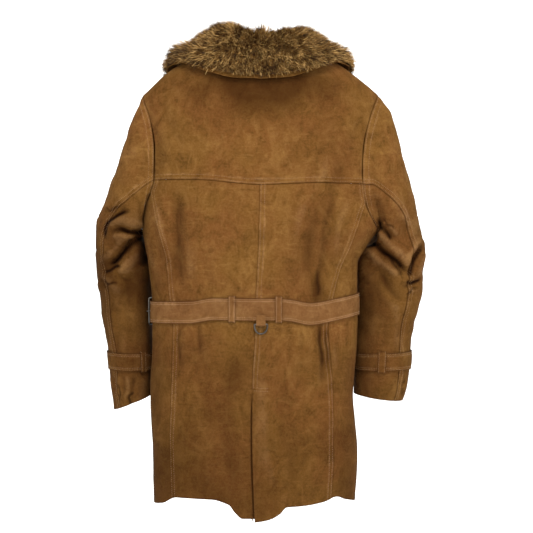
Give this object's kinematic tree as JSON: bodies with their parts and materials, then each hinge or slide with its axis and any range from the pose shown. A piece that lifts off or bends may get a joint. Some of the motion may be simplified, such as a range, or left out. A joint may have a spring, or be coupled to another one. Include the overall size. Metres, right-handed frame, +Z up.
{
  "type": "leather coat",
  "caption": "Knee-length suede leather coat with a turned-down fur collar, back yoke, centre vent, waist belt through loops, cuff straps and a hanging D-ring at the back of the belt.",
  "frame": {"origin": "centre of the neck opening, level with the neck end of the shoulder seams", "axes": "+Z up along the body, +Y out of the front of the coat, +X towards the right-hand side as the coat is worn"},
  "size_m": [0.6857, 0.2674, 0.9737],
  "materials": {
    "suede": "matt nap",
    "trim_suede": "matt nap",
    "fur": "soft pile",
    "button": "satin",
    "steel": "bright",
    "dark_steel": "darkened"
  },
  "bodies": {
    "coat": {"yoke_back": "suede", "vent_underlap": "suede", "back_left": "suede", "back_right": "suede", "side_left": "suede", "side_right": "suede", "front_left": "suede", "front_right": "suede", "sleeve_top_left": "suede", "sleeve_top_right": "suede", "sleeve_under_left": "suede", "sleeve_under_right": "suede", "collar_under": "suede", "belt": "trim_suede", "belt_loop_left": "trim_suede", "belt_loop_right": "trim_suede", "d_ring_tab": "trim_suede", "cuff_strap_left": "trim_suede", "cuff_strap_right": "trim_suede", "cuff_loop_left": "trim_suede", "cuff_loop_right": "trim_suede", "collar_fur": "fur", "cuff_button_left": "button", "cuff_button_right": "button", "front_button_1": "button", "front_button_2": "button", "front_button_3": "button", "front_button_4": "button", "belt_buckle_frame": "steel", "belt_buckle_pin": "steel"},
    "ring": {"d_ring": "dark_steel"}
  },
  "joints": [
    {"name": "d_ring_swing", "type": "hinge", "parent": "coat", "child": "ring", "pos_m": [-0.002, -0.11504, -0.559], "axis": [-1, 0, 0], "range_deg": [0, 140]}
  ]
}
